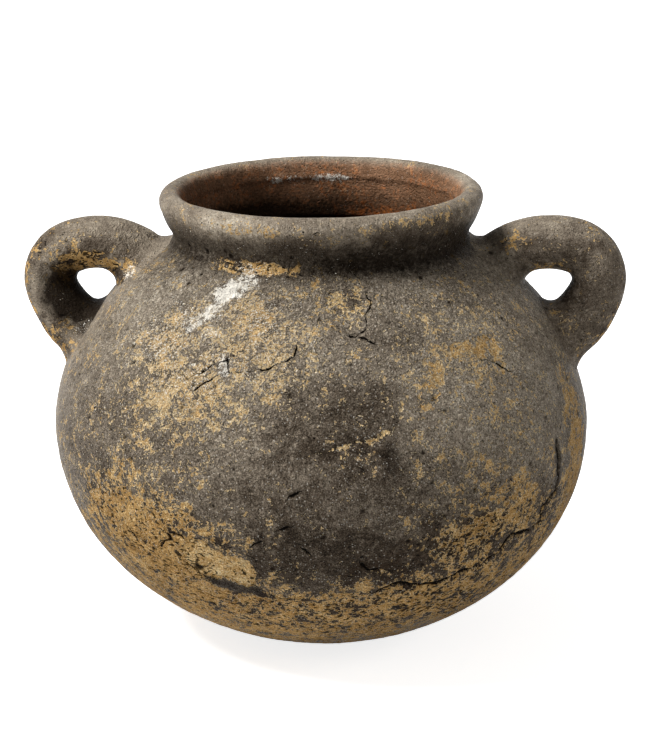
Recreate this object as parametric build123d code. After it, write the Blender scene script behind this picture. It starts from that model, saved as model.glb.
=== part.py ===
from build123d import *
from math import asin, cos, degrees, radians, sin
import os

# A round-bellied clay cooking pot with two coil handles, built up from rings of clay.
# Sizes are millimetres. The foot stands on z = 0, the pot's axis is Z and the handles lie along X.

# Round body
foot_radius = 37.5  # flat that the pot stands on
belly_radius = 140.0  # widest line of the outside
belly_height = 112.0  # widest line above the ground
shoulder_rise = 96.0  # from the widest line up to the foot of the neck
shoulder_power = 1.8  # 2 makes the shoulder a true ellipse, less makes it straighter
lower_power = 2.03  # 2 makes the lower body a true ellipse, more makes it fuller
wall = 6.5
floor_thickness = 10.0  # clay under the middle of the inside

# Seams between the rings, each cut on a slant so that the rings overlap
base_seam_height = 60.0
shoulder_seam_height = 126.0
seam_slant = 7.0  # the outer edge of a seam stands this much above its inner edge

# Neck and rolled rim
neck_foot_radius = 77.3  # where the shoulder ends, outside
neck_wall = 5.5
neck_pinch = 1.0  # how far the neck draws in above its foot
neck_pinch_rise = 3.0  # height of the narrowest line above the foot of the neck
neck_rise = 10.0  # outer edge of the seam under the rim, above the foot of the neck
neck_flare = 2.2  # how far the neck spreads again up to that seam
rim_overhang = 6.3  # outside of the roll, beyond the foot of the neck
rim_rise = 27.7  # crown of the roll above the foot of the neck
roll_radius = 5.85
ridge_rise = 16.0  # lower inner edge of the roll, above the foot of the neck
ridge_reach = 1.0  # how far that edge stands into the mouth

# Handles: a round coil bent into a lopsided loop, in the plane through the pot's axis
coil_radius = 13.95
bend_drop = 21.6  # centre of the tight outer bend, below the foot of the neck
bend_standoff = 20.8  # that centre, out from the wall at its own height
bend_radius = 18.25
bend_half_turn = 48.0  # degrees of the tight bend on each side of its middle
bend_tilt = 23.0  # degrees that the middle of the bend points up
arm_radius = 41.0  # gentler curve of both arms
upper_arm_turn = 75.0  # degrees, long enough to end inside the pot
lower_arm_turn = 55.0

# Wads of clay pressed round the ends of the handles
wad_flare = 5.5  # spread at the wall, beyond the coil
wad_shift = 3.0  # how far it sits to one side there: under the upper arm, outside the lower one
wad_lip = 0.9  # thickness at its thin end on the coil
wad_height = 16.0  # along the coil, from where the coil's middle meets the wall
wad_root = 11.0  # far enough below that point to reach the wall all round
wad_hollow = 1.2  # how far the side of the flare curves in

neck_foot_height = belly_height + shoulder_rise
mouth_radius = neck_foot_radius - neck_wall
rim_radius = neck_foot_radius + rim_overhang
foot_share = 1 - (foot_radius / belly_radius) ** lower_power
lower_drop = belly_height / foot_share ** (1 / lower_power)
shoulder_share = 1 - (neck_foot_radius / belly_radius) ** shoulder_power
upper_rise = shoulder_rise / shoulder_share ** (1 / shoulder_power)
inside_share = 1 - (mouth_radius / (belly_radius - wall)) ** shoulder_power
shoulder_inner_top = belly_height + (upper_rise - wall) * inside_share ** (1 / shoulder_power)
wad_core_radius = coil_radius / 2  # well inside the coil, which shapes the wad's inner face
curve_points = 13  # places where a drawn curve is held to its formula
halvings = 30  # steps of the search for where a handle meets the wall

# The two curves of the body: radius at the widest line, height above it and depth below it
outside = (belly_radius, upper_rise, lower_drop)
inside = (belly_radius - wall, upper_rise - wall, belly_height - floor_thickness)


# Turn of a curve's sweep at a height, minus a quarter circle at the bottom and zero at the widest line
def turn_at(curve, height):
    radius, rise, drop = curve
    if height < belly_height:
        return -asin(((belly_height - height) / drop) ** (lower_power / 2))
    return asin(((height - belly_height) / rise) ** (shoulder_power / 2))


# Radius and height of a curve at a turn: fuller than an ellipse below the widest line, straighter above it
def point_at(curve, turn):
    radius, rise, drop = curve
    if turn < 0:
        share = 2 / lower_power
        return radius * cos(turn) ** share, belly_height - drop * sin(-turn) ** share
    share = 2 / shoulder_power
    return radius * cos(turn) ** share, belly_height + rise * sin(turn) ** share


def radius_at(curve, height):
    return point_at(curve, turn_at(curve, height))[0]


# The curve between two heights as one smooth line
def drawn(curve, low, high):
    first = turn_at(curve, low)
    step = (turn_at(curve, high) - first) / (curve_points - 1)
    return Spline([point_at(curve, first + step * place) for place in range(curve_points)])


# A closed outline of radius and height, turned about the pot's axis
def turned(*edges):
    return revolve(Plane.XZ * make_face(edges), Axis.Z)


# One ring of the wall, between the outer and inner heights of its lower and upper seams
def wall_ring(low, high):
    outer_line = drawn(outside, low[0], high[0])
    inner_line = drawn(inside, low[1], high[1])
    return turned(outer_line, Line(outer_line @ 1, inner_line @ 1),
                  inner_line, Line(inner_line @ 0, outer_line @ 0))


def seam(height):
    return height + seam_slant / 2, height - seam_slant / 2


base_seam = seam(base_seam_height)
shoulder_seam = seam(shoulder_seam_height)
neck_seam = (neck_foot_height, shoulder_inner_top)

# Bowl pressed in a mould, with a flat foot and a thicker floor
bowl_outside = drawn(outside, 0, base_seam[0])
bowl_inside = drawn(inside, floor_thickness, base_seam[1])
foot_middle = (0, 0)
base_bowl = turned(Line(foot_middle, bowl_outside @ 0), bowl_outside,
                   Line(bowl_outside @ 1, bowl_inside @ 1), bowl_inside,
                   Line(bowl_inside @ 0, foot_middle))

belly_wall = wall_ring(base_seam, shoulder_seam)
shoulder_wall = wall_ring(shoulder_seam, neck_seam)

# Neck: draws in above the shoulder, then spreads to carry the rim
neck_foot = (neck_foot_radius, neck_foot_height)
neck_waist = (neck_foot_radius - neck_pinch, neck_foot_height + neck_pinch_rise)
neck_top = (neck_foot_radius + neck_flare, neck_foot_height + neck_rise)
neck_inner_foot = (mouth_radius, shoulder_inner_top)
neck_inner_top = (mouth_radius, neck_foot_height + ridge_rise)
neck_ring = turned(Spline([neck_foot, neck_waist, neck_top]), Line(neck_top, neck_inner_top),
                   Line(neck_inner_top, neck_inner_foot), Line(neck_inner_foot, neck_foot))

# Rim: a roll drawn down to a wedge on the neck, with its inner edge left as a ridge in the mouth
roll_middle = (rim_radius - roll_radius, neck_foot_height + rim_rise - roll_radius)
seat_fall = (neck_rise - ridge_rise) / (neck_top[0] - mouth_radius)
ridge = (mouth_radius - ridge_reach, neck_inner_top[1] - seat_fall * ridge_reach)
roll = Pos(*roll_middle) * Circle(roll_radius)
rim_outline = make_hull([*roll.edges(), Line(neck_top, ridge)])
rolled_rim = revolve(Plane.XZ * rim_outline, Axis.Z)


# Point at a distance and an angle from a centre, as radius and height
def swung(centre, distance, angle):
    return centre[0] + distance * cos(radians(angle)), centre[1] + distance * sin(radians(angle))


# Middle line of a handle: a tight bend between two gentler arms that run into the pot
bend_height = neck_foot_height - bend_drop
bend_middle = (radius_at(outside, bend_height) + bend_standoff, bend_height)
upper_start = bend_tilt + bend_half_turn
lower_start = bend_tilt - bend_half_turn
upper_middle = swung(bend_middle, bend_radius - arm_radius, upper_start)
lower_middle = swung(bend_middle, bend_radius - arm_radius, lower_start)
handle_line = Wire([
    Plane.XZ * CenterArc(upper_middle, arm_radius, upper_start, upper_arm_turn),
    Plane.XZ * CenterArc(bend_middle, bend_radius, lower_start, 2 * bend_half_turn),
    Plane.XZ * CenterArc(lower_middle, arm_radius, lower_start - lower_arm_turn, lower_arm_turn),
])
coil = sweep(Plane(handle_line @ 0, z_dir=handle_line % 0) * Circle(coil_radius), handle_line)


# The piece of a solid that is left farthest outside the pot
def outside_pot(solid, *walls):
    left = solid - list(walls)
    return max(left.solids(), key=lambda piece: piece.center().X)


# Where an arm's middle line passes into the wall, found by halving its turn
def root_turn(centre, start, turn):
    outer_turn = 0
    inner_turn = turn
    for halving in range(halvings):
        middle_turn = (outer_turn + inner_turn) / 2
        reach, height = swung(centre, arm_radius, start + middle_turn)
        if reach > radius_at(outside, height):
            outer_turn = middle_turn
        else:
            inner_turn = middle_turn
    return start + outer_turn


# Wad round one arm: a hollow flare that spreads to one side at the wall and closes on the coil
def luting_wad(centre, root, way):
    thin_turn = root - degrees(way * wad_height / arm_radius)
    thin_reach, thin_height = swung(centre, arm_radius, thin_turn)
    wide_reach, wide_height = swung(centre, arm_radius - way * wad_shift, root)
    lean = Vector(thin_reach - wide_reach, 0, thin_height - wide_height)
    frame = Plane((wide_reach, 0, wide_height), x_dir=(0, 1, 0), z_dir=lean)
    thin_end = (coil_radius + wad_lip, lean.length)
    wide_end = (coil_radius + wad_flare, -wad_root)
    hollow_radius = coil_radius + (wad_flare + wad_lip) / 2 - wad_hollow
    flare = ThreePointArc(wide_end, (hollow_radius, (lean.length - wad_root) / 2), thin_end)
    thin_core = (wad_core_radius, lean.length)
    wide_core = (wad_core_radius, -wad_root)
    outline = make_face([flare, Line(thin_end, thin_core), Line(thin_core, wide_core), Line(wide_core, wide_end)])
    wad = frame * revolve(Plane.XZ * outline, Axis.Z)
    return outside_pot(wad, coil, shoulder_wall, neck_ring, rolled_rim)


right_handle = outside_pot(coil, shoulder_wall, neck_ring)
upper_root = root_turn(upper_middle, upper_start, upper_arm_turn)
lower_root = root_turn(lower_middle, lower_start, -lower_arm_turn)
right_upper_luting = luting_wad(upper_middle, upper_root, 1)
right_lower_luting = luting_wad(lower_middle, lower_root, -1)

parts = {
    "base_bowl": base_bowl,
    "belly_wall": belly_wall,
    "shoulder_wall": shoulder_wall,
    "neck_ring": neck_ring,
    "rolled_rim": rolled_rim,
}
one_side = {"handle": right_handle, "upper_luting": right_upper_luting, "lower_luting": right_lower_luting}
for name, piece in one_side.items():
    parts["right_" + name] = piece
    parts["left_" + name] = mirror(piece, about=Plane.YZ)

os.makedirs("parts", exist_ok=True)
for name, piece in parts.items():
    piece.label = name
    export_step(piece, os.path.join("parts", name + ".step"))
    print(name, round(piece.volume / 1000, 1), "ml")
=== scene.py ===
import bpy
import math
import numpy as np
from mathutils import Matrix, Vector


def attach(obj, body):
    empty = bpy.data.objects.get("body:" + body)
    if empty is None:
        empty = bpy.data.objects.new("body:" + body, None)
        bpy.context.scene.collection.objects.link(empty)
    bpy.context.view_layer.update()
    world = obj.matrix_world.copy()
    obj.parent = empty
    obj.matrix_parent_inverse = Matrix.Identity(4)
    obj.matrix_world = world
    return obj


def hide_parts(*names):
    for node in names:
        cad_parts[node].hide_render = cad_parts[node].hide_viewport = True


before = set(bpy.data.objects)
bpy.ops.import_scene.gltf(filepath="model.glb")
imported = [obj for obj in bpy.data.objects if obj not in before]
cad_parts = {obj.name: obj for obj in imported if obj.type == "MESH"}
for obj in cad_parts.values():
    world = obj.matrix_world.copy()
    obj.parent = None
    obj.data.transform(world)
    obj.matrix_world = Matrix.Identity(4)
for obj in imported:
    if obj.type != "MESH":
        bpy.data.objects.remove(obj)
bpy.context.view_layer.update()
print("frame loaded:", len(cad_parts), "clay nodes")

# Shapes are worked out in millimetres in the CAD's frame, and become metres when a mesh is made.


def smooth(x, low, high):
    t = np.clip((x - low) / (high - low), 0, 1)
    return t * t * (3 - 2 * t)


def wrapped(angle):  # degrees, from -180 to 180
    return (angle + 180) % 360 - 180


def ray(turn):
    return np.stack([np.cos(turn), np.sin(turn)], -1)


def turned(radius, turn, height):
    return np.stack([radius * np.cos(turn), radius * np.sin(turn), height], -1)


def lengthAlong(line):
    return np.concatenate([[0], np.cumsum(np.linalg.norm(np.diff(line, axis=0), axis=1))])


# Seeded tables for the noise, and their entry for the neighbour of a cell
tableSize = 256
dice = np.random.default_rng(41)
shuffled = dice.permutation(tableSize)
pushes = dice.normal(size=(tableSize, 3))
pushes /= np.linalg.norm(pushes, axis=1)[:, None]


def cellKey(cell, step):
    key = 0
    for axis in range(3):
        key = shuffled[(key + cell[:, axis] + step[axis]) % tableSize]
    return key


# Lattice noise, about -1 to 1, with features about size mm across; each seed looks at another part of the lattice
def lattice(points, size, seed):
    spot = points / size + 31.7 + 13.3 * seed
    cell = np.floor(spot).astype(np.int64)
    part = spot - cell
    fade = part ** 3 * (part * (part * 6 - 15) + 10)
    total = np.zeros(len(points))
    for corner in range(8):
        step = np.array([corner & 1, corner >> 1 & 1, corner >> 2])
        share = np.where(step == 1, fade, 1 - fade).prod(axis=1)
        total += share * ((part - step) * pushes[cellKey(cell, step)]).sum(axis=1)
    return 1.6 * total


# Lattice noise with finer layers added, each half the size of the last and weaker by keep
def rough(points, size, layers, keep, seed):
    total = np.zeros(len(points))
    for layer in range(layers):
        total += keep ** layer * lattice(points, size / 2 ** layer, seed + 3 * layer)
    return total


def blotches(points, sizes, firstSeed):
    return [rough(points, size, 3, 0.5, firstSeed + k) for k, size in enumerate(sizes)]


# Distance to the nearest of points scattered about size mm apart, in units of size, and that point's own number 0 to 1
def scattered(points, size, seed):
    spot = points / size + 11.9 + 7.7 * seed
    cell = np.floor(spot).astype(np.int64)
    nearest = np.full(len(points), 9.0)
    own = np.zeros(len(points))
    for corner in range(27):
        step = np.array([corner % 3, corner // 3 % 3, corner // 9]) - 1
        key = cellKey(cell, step)
        gap = np.linalg.norm(spot - (cell + step + 0.5 + 0.4 * pushes[key]), axis=1)
        closer = gap < nearest
        nearest = np.where(closer, gap, nearest)
        own = np.where(closer, shuffled[(key + 91) % tableSize] / (tableSize - 1), own)
    return nearest, own


# Outline of the whole pot, from the middle of the foot up the outside, over the rim and down the inside
pot = dict(
    footRadius=37.5, bellyRadius=140.0, bellyHeight=112.0, shoulderRise=96.0,
    shoulderPower=1.8, lowerPower=2.03, wall=6.5, floorThickness=10.0,
    neckFoot=77.3, neckWall=5.5, neckPinch=1.0, neckPinchRise=3.0, neckRise=10.0, neckFlare=2.2,
    rimOverhang=6.3, rimRise=27.7, rollRadius=5.85, ridgeRise=16.0, ridgeReach=1.0,
    baseSeam=60.0, shoulderSeam=126.0, seamSlant=7.0,
    step=0.2, soften=0.9, softenNeck=2.2,  # spacing of the drawn line, and how far its corners are rubbed round
    neckFrom=(196, 204), neckTo=(219, 226), pole=(4, 12),  # heights round the neck, and radii at the poles
    curvePoints=700, linePoints=40, rollPoints=200,
)
bellyZ = pot["bellyHeight"]
neckFootZ = bellyZ + pot["shoulderRise"]
mouthRadius = pot["neckFoot"] - pot["neckWall"]


# Height of a whole body curve, from the height at which it has its end radius
def fullRise(rise, endRadius, power):
    return rise / (1 - (endRadius / pot["bellyRadius"]) ** power) ** (1 / power)


lowerDrop = fullRise(bellyZ, pot["footRadius"], pot["lowerPower"])
upperRise = fullRise(pot["shoulderRise"], pot["neckFoot"], pot["shoulderPower"])
outerSizes = (pot["bellyRadius"], upperRise, lowerDrop)
innerSizes = (pot["bellyRadius"] - pot["wall"], upperRise - pot["wall"], bellyZ - pot["floorThickness"])
innerShare = 1 - (mouthRadius / innerSizes[0]) ** pot["shoulderPower"]
innerTopZ = bellyZ + innerSizes[1] * innerShare ** (1 / pot["shoulderPower"])


def bodyLine(sizes, low, high):
    radius, rise, drop = sizes
    under, over = pot["lowerPower"], pot["shoulderPower"]

    def turnAt(z):
        if z < bellyZ:
            return -math.asin(min(1, (bellyZ - z) / drop) ** (under / 2))
        return math.asin(((z - bellyZ) / rise) ** (over / 2))

    turns = np.linspace(turnAt(low), turnAt(high), pot["curvePoints"])
    share = 2 / np.where(turns < 0, under, over)
    lift = np.sign(turns) * np.abs(np.sin(turns)) ** share * np.where(turns < 0, drop, rise)
    return np.stack([radius * np.clip(np.cos(turns), 0, 1) ** share, bellyZ + lift], 1)


def straight(a, b):
    return np.linspace(a, b, pot["linePoints"])


def drawOutline():
    neckLow = np.array([pot["neckFoot"], neckFootZ])
    waist = neckLow + [-pot["neckPinch"], pot["neckPinchRise"]]
    neckTop = neckLow + [pot["neckFlare"], pot["neckRise"]]
    t = straight(0, 1)[:, None]
    m = np.linalg.norm(waist - neckLow) / (np.linalg.norm(waist - neckLow) + np.linalg.norm(neckTop - waist))
    neck = neckLow * (t - m) * (t - 1) / m + waist * t * (t - 1) / (m * (m - 1)) + neckTop * t * (t - m) / (1 - m)
    roll = pot["rollRadius"]
    middle = np.array([pot["neckFoot"] + pot["rimOverhang"] - roll, neckFootZ + pot["rimRise"] - roll])
    innerTop = np.array([mouthRadius, neckFootZ + pot["ridgeRise"]])
    fall = (pot["neckRise"] - pot["ridgeRise"]) / (neckTop[0] - mouthRadius)
    ridge = innerTop - pot["ridgeReach"] * np.array([1, fall])

    def touchAngle(spot, side):  # where a line from spot touches the roll
        way = spot - middle
        return math.atan2(way[1], way[0]) + side * math.acos(roll / np.linalg.norm(way))

    turn = np.linspace(touchAngle(neckTop, 1), touchAngle(ridge, -1) + 2 * math.pi, pot["rollPoints"])
    lip = middle + roll * ray(turn)
    line = np.concatenate([
        straight((0, 0), (pot["footRadius"], 0)), bodyLine(outerSizes, 0, neckFootZ)[1:], neck[1:],
        straight(neckTop, lip[0])[1:], lip[1:], straight(lip[-1], ridge)[1:], straight(ridge, innerTop)[1:],
        straight(innerTop, (mouthRadius, innerTopZ))[1:],
        bodyLine(innerSizes, pot["floorThickness"], innerTopZ)[::-1][1:],
    ])
    run = lengthAlong(line)
    even = np.linspace(0, run[-1], int(run[-1] / pot["step"]))
    line = np.stack([np.interp(even, run, line[:, k]) for k in (0, 1)], 1)

    def rubbed(width):
        reach = int(3 * width / pot["step"])
        share = np.exp(-0.5 * (np.arange(-reach, reach + 1) * pot["step"] / width) ** 2)
        wide = np.pad(line, ((reach, reach), (0, 0)), mode="edge")
        return np.stack([np.convolve(wide[:, k], share / share.sum(), mode="valid") for k in (0, 1)], 1)

    radius, z = line.T
    outside = even < even[np.argmax(z)]
    atNeck = (smooth(z, *pot["neckFrom"]) * (1 - smooth(z, *pot["neckTo"])) * outside)[:, None]
    atPole = (1 - smooth(radius, *pot["pole"]))[:, None]
    soft = rubbed(pot["soften"]) * (1 - atNeck) + rubbed(pot["softenNeck"]) * atNeck
    return soft * (1 - atPole) + line * atPole


outline = drawOutline()
outlineRun = lengthAlong(outline)
crown = int(np.argmax(outline[:, 1]))
crownRun = outlineRun[crown]
footEdge = int(np.argmax(outline[:, 1] > 0.01)) - 1
wallLine, wallRuns = outline[footEdge:crown], outlineRun[footEdge:crown]
slopes = np.gradient(outline, axis=0)
outlineNormals = np.stack([slopes[:, 1], -slopes[:, 0]], 1) / np.linalg.norm(slopes, axis=1)[:, None]


def outerRun(z):
    return float(np.interp(z, wallLine[:, 1], wallRuns))


def innerRun(z):
    return float(np.interp(z, outline[crown:, 1][::-1], outlineRun[crown:][::-1]))


def radiusAt(run):
    return np.interp(run, outlineRun, outline[:, 0])


# The pot was built by hand: it leans a little, and its right side stands a little higher
leanShape = dict(
    sideways=-0.0145, upwards=0.0148, handleShift=0.94,  # mm per mm of height and of width, then mm
    handleOut=(95, 125), handleUp=(140, 165), straightens=(180, 215), lifts=(120, 200),  # where each sets in
)


def lean(points):
    shape = leanShape
    x, y, z = points.T
    atHandle = smooth(np.abs(x), *shape["handleOut"]) * smooth(z, *shape["handleUp"])
    sideways = shape["sideways"] * (z - bellyZ) * (1 - smooth(z, *shape["straightens"]))
    sideways = sideways * (1 - atHandle) + shape["handleShift"] * atHandle
    return np.stack([x + sideways, y, z + shape["upwards"] * x * smooth(z, *shape["lifts"])], 1)


# Where the slip has worn off or darkened and lime has gathered, and where shade and highlights are painted on it:
# azimuth, height, half width, half height, tilt, amount
wornPatches = dict(
    bare=[
        (-113, 174, 48, 36, 0, 0.3), (-79, 194, 15, 13, 0, 0.1), (-112, 209, 26, 4, 0, 0.38),
        (-120, 131, 32, 26, 10, 0.12), (-126, 86, 40, 25, -12, 0.42), (-118, 58, 44, 15, -8, 0.16),
        (-50, 50, 50, 13, 8, 0.08), (-96, 186, 24, 18, 0, 0.05), (-17, 106, 15, 46, 0, 0.46),
        (-42, 98, 15, 16, 20, 0.26), (-53, 88, 17, 7, 15, 0.36), (-47, 173, 26, 5, -6, 0.26),
        (-61, 160, 5, 18, -38, 0.3), (-84, 150, 32, 18, 8, -0.1), (-86, 112, 46, 26, 0, -0.15),
        (-84, 80, 44, 17, 0, -0.35), (-106, 61, 15, 4, -12, -0.6), (-28.5, 111, 3.5, 13, 0, -0.3),
        # the patches on the rim's crest (heights 230 and 231) make it paler towards the front left, where the light
        # catches it: worn clay and painted highlight
        (-72, 132, 4.5, 7, 0, -0.3), (-113, 230, 26, 4, 0, 0.28), (-70, 231, 12, 3.5, 0, 0.2),
        (-50, 231, 16, 3.5, 0, 0.16), (-66, 183, 14, 12, 0, -0.1), (-52, 178, 40, 22, 0, 0.14),
        (-46, 136, 46, 42, 10, 0.14), (96, 168, 46, 30, 12, 0.24), (38, 92, 44, 26, -10, 0.3),
        (150, 98, 40, 30, 14, 0.3), (172, 170, 24, 22, 0, 0.14), (14, 176, 22, 20, 0, 0.16),
        (74, 136, 20, 24, -20, 0.16),
    ],
    slate=[
        (-84, 150, 34, 20, 8, 0.45), (-86, 112, 48, 28, 0, 0.3), (-84, 80, 44, 17, 0, 0.35),
        (-66, 184, 15, 12, 0, 0.3), (112, 118, 40, 30, 10, 0.4), (60, 170, 26, 18, 0, 0.3), (-52, 226, 30, 7, 0, 0.5),
        (-95, 224, 16, 5, 0, 0.3), (-126, 165, 9, 5, 0, 0.4), (-108, 178, 7, 4, 0, 0.4),
        # the patches with a minus amount on the left shoulder and on the rim's front-left crest make the slip paler
        # where the key light falls: painted sheen
        (-150, 180, 40, 40, 0, -0.15), (-114, 172, 60, 44, 0, -0.1), (-52, 176, 40, 24, 0, -0.15),
        (-40, 130, 60, 40, 0, -0.2), (-113, 230, 34, 5, 0, -0.35),
    ],
    ochre=[
        (-112, 209, 30, 5, 0, 0.65), (-126, 85, 42, 28, -12, 0.4), (-84, 42, 120, 20, 0, 0.35),
        (-48, 70, 60, 45, 8, 0.25), (-53, 88, 20, 9, 15, 0.3), (-47, 173, 26, 8, -6, 0.35),
        (-17, 106, 16, 48, 0, 0.3), (-61, 160, 5, 18, -38, 0.3), (-79, 194, 15, 13, 0, 0.12),
        (-114, 174, 54, 40, 0, -0.28), (-52, 178, 40, 22, 0, -0.2),
    ],
    chalk=[
        # the wide patch over the left shoulder scatters lime-white specks where the key light falls: lime and painted
        # glints
        (-109.5, 170.8, 3.5, 6, 20, 0.3), (-33.5, 157, 4, 6, 20, 0.25), (-114, 180, 50, 34, 0, 0.2),
    ],
    sootAndShade=[
        # the wide patches low in front (-84, 78 and -60, 110), the one under the rim in front (-40, 214) and those on
        # the wall behind the handles (0 and 180, 176) are painted shade; the small ones are dark marks and cracks
        (-84, 78, 48, 20, 0, 0.14), (-60, 110, 40, 40, 0, 0.08), (-106, 61, 15, 4, -12, 0.6),
        (-28.5, 111, 3.5, 13, 0, 0.6), (-72, 132, 4.5, 7, 0, 0.5), (-40, 214, 60, 12, 0, 0.2),
        (-113.8, 69.9, 3, 2, 10, 0.8), (-112, 209, 27, 4, 0, -0.6), (0, 176, 20, 16, 0, 0.25),
        (180, 176, 20, 16, 0, 0.2),
    ],
)
# Lime that ran down the shoulder, as azimuth and height along each run, with width and amount
limeRuns = [
    ([(-112, 205.5), (-114.5, 203.5), (-115.5, 200)], 12.0, 0.5),
    ([(-115.5, 199), (-117.8, 193.5), (-118.5, 189.5)], 9.0, 0.42),
    ([(-120.2, 190), (-121.6, 187), (-123.3, 183.5)], 7.0, 0.42),
    ([(-113.5, 183), (-117.5, 182.3)], 3.5, 0.35),
]
# Flakes lost from the slip, as azimuth and height round each: how much barer and yellower they are, and how deep
flakes = [
    ([(-114.2, 86.3), (-110.8, 86), (-108.8, 81.2), (-105, 80.6), (-102, 79.2), (-100.5, 73.8),
      (-100.8, 65.5), (-103.5, 62.8), (-106.2, 67), (-110.2, 67.3), (-113.8, 67.5), (-116.7, 73.5),
      (-117.3, 80)], 0.7, 0.2, 0.5),
    ([(-69, 157), (-69, 151), (-70.5, 146.6), (-73, 144), (-75, 141.2), (-80.2, 139.4), (-86.5, 136),
      (-90.5, 133.6), (-90.5, 132.6), (-86, 134.6), (-80, 137.8), (-74.4, 139.6), (-71, 143.6),
      (-68.4, 149), (-68.2, 157)], 0.4, 0.2, 0.4),
    ([(-84, 201), (-76.5, 202.5), (-72.6, 201), (-71.5, 195.5), (-73.6, 191.9), (-74.6, 187),
      (-79, 186), (-80, 190), (-85, 193)], 0.1, 0.05, 0.3),
]
# Drying and firing cracks, as azimuth and height along each, with width and depth
cracks = [
    ([(-74, 60), (-71, 63.4), (-68.8, 64), (-66, 61.6), (-60.5, 60.4), (-57.5, 61.6), (-54, 65),
      (-49, 65.8), (-47.5, 69), (-45, 71), (-42.5, 79.5), (-36, 78), (-32, 81), (-33.5, 88.7),
      (-28, 95), (-28.5, 111.6), (-29, 119.6)], 2.0, 1.4),
    ([(-111, 171), (-108.8, 174), (-107.5, 168.4), (-102.5, 169.3), (-97, 172.3), (-92.5, 175.6),
      (-92, 179.7)], 0.9, 0.8),
    ([(-119.5, 165.7), (-117.5, 163.4), (-114.5, 167.2), (-112.5, 170.5)], 1.1, 0.9),
    ([(-115, 160), (-111.8, 164.9)], 1.0, 0.8),
    ([(-73.8, 207), (-72, 203.2), (-70.8, 195.5), (-73, 191.9), (-74, 186), (-77, 183.6)], 0.8, 0.7),
    ([(-78, 184.2), (-75, 183), (-72.8, 181.2)], 1.2, 0.9),
    ([(-45.5, 168), (-41.5, 165.2), (-38.5, 160.4)], 0.8, 0.7),
    ([(-14.3, 203.2), (-13, 199.4), (-9.8, 196.4), (-5, 195.5)], 1.6, 1.0),
    ([(-122.5, 79.2), (-121, 82.5), (-119.3, 83.9), (-119.6, 86.5)], 1.6, 0.9),
    ([(-116.5, 71.5), (-115.3, 68.8)], 1.6, 0.9),
    # short nicks low on the front
    ([(-92.2, 114.9), (-90.8, 116.9)], 1.6, 0.8),
    ([(-94, 98.2), (-92.8, 99.4)], 2.0, 0.8),
    ([(-100.2, 88.4), (-98.5, 90.5)], 1.6, 0.8),
    ([(-90, 86.6), (-89.2, 84.8)], 1.6, 0.8),
    ([(-78.2, 78), (-76.8, 74.7), (-74.8, 75)], 1.8, 0.9),
    ([(-130.3, 81.2), (-129.8, 78.9)], 2.4, 0.9),
    ([(-118, 87.8), (-116.2, 86.9)], 1.8, 0.8),
]
# Wear that follows the height, and the places of the inside's colours. The soot and slate rows rise on the neck under
# the rim and on the rim's lower half: painted shade there.
wallLook = dict(
    blotchMm=(70, 28, 11, 4.5),
    heights=[0, 30, 55, 75, 95, 120, 150, 185, 203, 209, 221, 228, 236],
    bare=[0.58, 0.56, 0.48, 0.32, 0.18, 0.1, 0.08, 0.1, 0.14, 0.08, 0.0, 0.02, 0.04],
    slate=[0.3, 0.3, 0.35, 0.4, 0.4, 0.3, 0.15, 0.05, 0.1, 0.25, 0.25, 0.1, 0.0],
    sootAndShade=[0.12, 0.08, 0.1, 0.1, 0.08, 0.04, 0.0, 0.0, 0.25, 0.8, 0.65, 0.15, 0.0],
    ochreFades=(50, 125), limeThins=(184, 204), rubbedRim=(206, 222),  # heights on the outside
    orangeFades=(202, 216), depthShadeFades=(203, 224), depthShadeStarts=(70, 165),  # heights on the inside
    rubbedTurn=175, orangeTurn=50, crumbsAndHighlightTurn=98, leftShadeFrom=(88, 150), leftShadeTo=(200, 250),  # azimuths
    crackReach=8, limeReach=24, flakeReach=4.0, farAway=99.0, crackSpan=9.0,  # mm, and the last in widths of a crack
)


def onWall(azimuth, z):
    run = np.interp(z, wallLine[:, 1], wallRuns)
    return turned(radiusAt(run), np.radians(azimuth), np.interp(run, outlineRun, outline[:, 1]))


def patchShare(azimuth, run, patch, ragged):
    middle, z, halfWide, halfHigh, tilt, amount = patch
    centreRun = outerRun(z)
    across = radiusAt(centreRun) * np.radians(wrapped(azimuth - middle))
    up = run - centreRun
    c, s = ray(math.radians(tilt))
    far = np.hypot((c * across + s * up) / halfWide, (c * up - s * across) / halfHigh)
    return amount * (1 - smooth(far + ragged, 0.7, 1.25))


# Distance in mm from a line drawn on the wall, and the same with a minus on its right, up to reach mm away
def lineGap(points, path, reach):
    path = onWall(*np.array(path, float).T)
    gap, side = np.full((2, len(points)), wallLook["farAway"])
    near = np.flatnonzero(((points > path.min(axis=0) - reach) & (points < path.max(axis=0) + reach)).all(axis=1))
    if not len(near):
        return gap, side
    wander = np.stack([rough(points[near], 5, 2, 0.6, seed) for seed in (51, 52, 53)], 1)
    shaken = points[near] + 0.9 * wander
    out = shaken * np.array([1, 1, 0.3])
    for a, b in zip(path[:-1], path[1:]):
        t = np.clip((shaken - a) @ (b - a) / ((b - a) @ (b - a)), 0, 1)
        far = np.linalg.norm(shaken - a - t[:, None] * (b - a), axis=1)
        turn = np.sign((np.cross(b - a, shaken - a) * out).sum(axis=1))
        closer = far < gap[near]
        gap[near] = np.where(closer, far, gap[near])
        side[near] = np.where(closer, turn * far, side[near])
    return gap, side


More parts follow.
